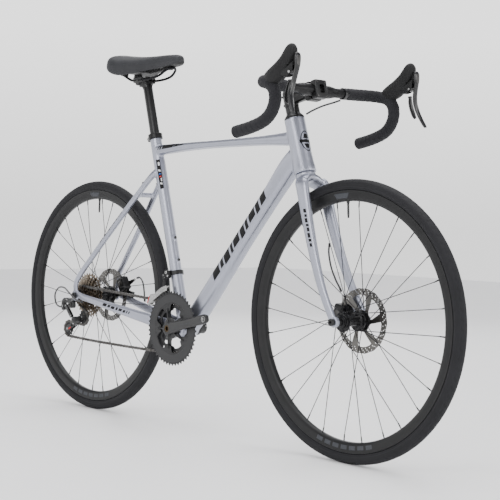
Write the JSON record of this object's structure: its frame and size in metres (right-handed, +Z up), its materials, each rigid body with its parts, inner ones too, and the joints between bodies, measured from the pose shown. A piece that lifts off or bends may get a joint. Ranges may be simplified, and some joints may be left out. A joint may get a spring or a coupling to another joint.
{
  "type": "road bicycle",
  "caption": "Drop-bar road bicycle with disc brakes, a chain drive with derailleurs at both ends, and a saddle on an adjustable post.",
  "frame": {"origin": "on the ground, midway between the two wheel centres", "axes": "+X forward, +Y to the rider's left, +Z up"},
  "size_m": [1.7248, 0.4822, 1.053],
  "materials": {
    "frame_paint": "satin silver paint with a fine metallic flake",
    "black_metal": "satin black anodised aluminium",
    "rim_black": "satin black anodised rim",
    "tyre_rubber": "matte black tyre rubber",
    "grip_tape": "charcoal foam bar tape",
    "hood_rubber": "charcoal moulded rubber",
    "saddle_cover": "charcoal synthetic leather over foam",
    "rail_steel": "satin steel wire",
    "spoke_black": "black stainless spokes",
    "rotor_steel": "brushed stainless steel",
    "cassette_steel": "nickel plated steel with an oiled brown tint",
    "chain_steel": "dark grey steel with oil",
    "ring_alloy": "dark grey anodised aluminium",
    "lever_plastic": "glossy black lever and covers",
    "housing_plastic": "black cable housing"
  },
  "bodies": {
    "frame": {"frame": "frame_paint", "bottom_bracket": "black_metal", "front_derailleur_body": "black_metal", "derailleur_hanger": "black_metal", "seat_collar": "black_metal", "rear_brake_caliper": "black_metal", "rear_brake_housing": "housing_plastic", "rear_thru_axle": "black_metal", "rear_derailleur_housing": "housing_plastic", "chain": "chain_steel", "headset_lower_bearing": "black_metal"},
    "steering": {"fork": "frame_paint", "stem": "black_metal", "stem_faceplate": "black_metal", "handlebar": "black_metal", "bar_tape_left": "grip_tape", "bar_tape_right": "grip_tape", "brake_hood_left": "hood_rubber", "brake_hood_right": "hood_rubber", "shifter_body_left": "lever_plastic", "shifter_body_right": "lever_plastic", "headset_top_cover": "black_metal", "control_housing_left": "housing_plastic", "control_housing_right": "housing_plastic", "front_brake_caliper": "black_metal", "front_brake_housing": "housing_plastic", "front_thru_axle": "black_metal"},
    "front_wheel": {"front_hub": "black_metal", "front_rim": "rim_black", "front_tyre": "tyre_rubber", "front_spokes_left": "spoke_black", "front_spokes_right": "spoke_black", "front_rotor": "rotor_steel"},
    "rear_wheel": {"rear_hub": "black_metal", "rear_rim": "rim_black", "rear_tyre": "tyre_rubber", "rear_spokes_left": "spoke_black", "rear_spokes_right": "spoke_black", "rear_rotor": "rotor_steel"},
    "cassette": {"cassette": "cassette_steel"},
    "crank": {"crank_arm_right": "black_metal", "crank_arm_left": "black_metal", "chainring_inner": "ring_alloy", "chainring_outer": "ring_alloy"},
    "rd_link": {"rear_derailleur_link": "black_metal"},
    "rd_knuckle": {"rear_derailleur_knuckle": "black_metal"},
    "rd_cage": {"rear_derailleur_cage": "black_metal"},
    "guide_pulley": {"guide_pulley": "lever_plastic"},
    "tension_pulley": {"tension_pulley": "lever_plastic"},
    "fd_cage": {"front_derailleur_cage": "rail_steel"},
    "front_brake_arm": {"front_brake_arm": "black_metal"},
    "rear_brake_arm": {"rear_brake_arm": "black_metal"},
    "brake_lever_left": {"brake_lever_left": "lever_plastic"},
    "brake_lever_right": {"brake_lever_right": "lever_plastic"},
    "shift_paddle_left": {"shift_paddle_left": "lever_plastic"},
    "shift_paddle_right": {"shift_paddle_right": "lever_plastic"},
    "seat": {"seatpost": "black_metal", "saddle_rails": "black_metal", "saddle": "saddle_cover"}
  },
  "joints": [
    {"name": "steering_turn", "type": "hinge", "parent": "frame", "child": "steering", "pos_m": [0.3509, 0, 0.7001], "axis": [-0.3024, 0, 0.9532], "range_deg": [-60, 60]},
    {"name": "front_wheel_spin", "type": "hinge", "parent": "steering", "child": "front_wheel", "pos_m": [0.5175, 0, 0.343], "axis": [0, 1, 0], "continuous": true},
    {"name": "rear_wheel_spin", "type": "hinge", "parent": "frame", "child": "rear_wheel", "pos_m": [-0.5175, 0, 0.343], "axis": [0, 1, 0], "continuous": true},
    {"name": "crank_spin", "type": "hinge", "parent": "frame", "child": "crank", "pos_m": [-0.099, 0, 0.2775], "axis": [0, 1, 0], "continuous": true, "deforming": ["chain"]},
    {"name": "cassette_spin", "type": "hinge", "parent": "frame", "child": "cassette", "pos_m": [-0.5175, 0, 0.343], "axis": [0, 1, 0], "continuous": true},
    {"name": "rd_shift", "type": "hinge", "parent": "frame", "child": "rd_link", "pos_m": [-0.556, -0.08, 0.31], "axis": [-0.5607, -0.6428, -0.522], "range_deg": [-22, 18], "deforming": ["chain"]},
    {"name": "rd_knuckle_swing", "type": "hinge", "parent": "rd_link", "child": "rd_knuckle", "pos_m": [-0.529, -0.08, 0.281], "axis": [-0.5607, -0.6428, -0.522], "range_deg": [-18, 22]},
    {"name": "rd_cage_swing", "type": "hinge", "parent": "rd_knuckle", "child": "rd_cage", "pos_m": [-0.517, -0.08, 0.2715], "axis": [0, -1, 0], "range_deg": [0, 34], "stiffness_Nm_per_rad": 0.35, "deforming": ["chain"]},
    {"name": "guide_pulley_spin", "type": "hinge", "parent": "rd_cage", "child": "guide_pulley", "pos_m": [-0.505, -0.054, 0.278], "axis": [0, 1, 0], "continuous": true},
    {"name": "tension_pulley_spin", "type": "hinge", "parent": "rd_cage", "child": "tension_pulley", "pos_m": [-0.577, -0.054, 0.239], "axis": [0, 1, 0], "continuous": true},
    {"name": "fd_shift", "type": "hinge", "parent": "frame", "child": "fd_cage", "pos_m": [-0.151, -0.027, 0.425], "axis": [-1, 0, 0], "range_deg": [0, 8], "deforming": ["chain"]},
    {"name": "front_brake_pull", "type": "hinge", "parent": "steering", "child": "front_brake_arm", "pos_m": [0.4451, 0.0554, 0.3584], "axis": [0, 1, 0], "range_deg": [-14, 14]},
    {"name": "rear_brake_pull", "type": "hinge", "parent": "frame", "child": "rear_brake_arm", "pos_m": [-0.4528, 0.0674, 0.3789], "axis": [0, 1, 0], "range_deg": [-14, 14]},
    {"name": "brake_lever_left_pull", "type": "hinge", "parent": "steering", "child": "brake_lever_left", "pos_m": [0.508, 0.212, 0.921], "axis": [0, 1, 0], "range_deg": [0, 23], "stiffness_Nm_per_rad": 1.2},
    {"name": "brake_lever_right_pull", "type": "hinge", "parent": "steering", "child": "brake_lever_right", "pos_m": [0.508, -0.212, 0.921], "axis": [0, 1, 0], "range_deg": [0, 23], "stiffness_Nm_per_rad": 1.2},
    {"name": "shift_paddle_left_push", "type": "hinge", "parent": "brake_lever_left", "child": "shift_paddle_left", "pos_m": [0.5025, 0.214, 0.901], "axis": [-1, 0, 0], "range_deg": [0, 20], "stiffness_Nm_per_rad": 0.15},
    {"name": "shift_paddle_right_push", "type": "hinge", "parent": "brake_lever_right", "child": "shift_paddle_right", "pos_m": [0.5025, -0.214, 0.901], "axis": [1, 0, 0], "range_deg": [0, 20], "stiffness_Nm_per_rad": 0.15},
    {"name": "seat_height", "type": "slide", "parent": "frame", "child": "seat", "axis": [-0.2756, 0, 0.9613], "range_m": [-0.08, 0.03]}
  ],
  "couplings": [
    {"joint": "cassette_spin", "follows": "crank_spin", "ratio": 2.4286},
    {"joint": "guide_pulley_spin", "follows": "crank_spin", "ratio": -3.0909},
    {"joint": "tension_pulley_spin", "follows": "crank_spin", "ratio": 3.0909},
    {"joint": "rd_knuckle_swing", "follows": "rd_shift", "ratio": -1},
    {"joint": "front_brake_pull", "follows": "brake_lever_left_pull", "ratio": 0.5},
    {"joint": "rear_brake_pull", "follows": "brake_lever_right_pull", "ratio": 0.5}
  ]
}
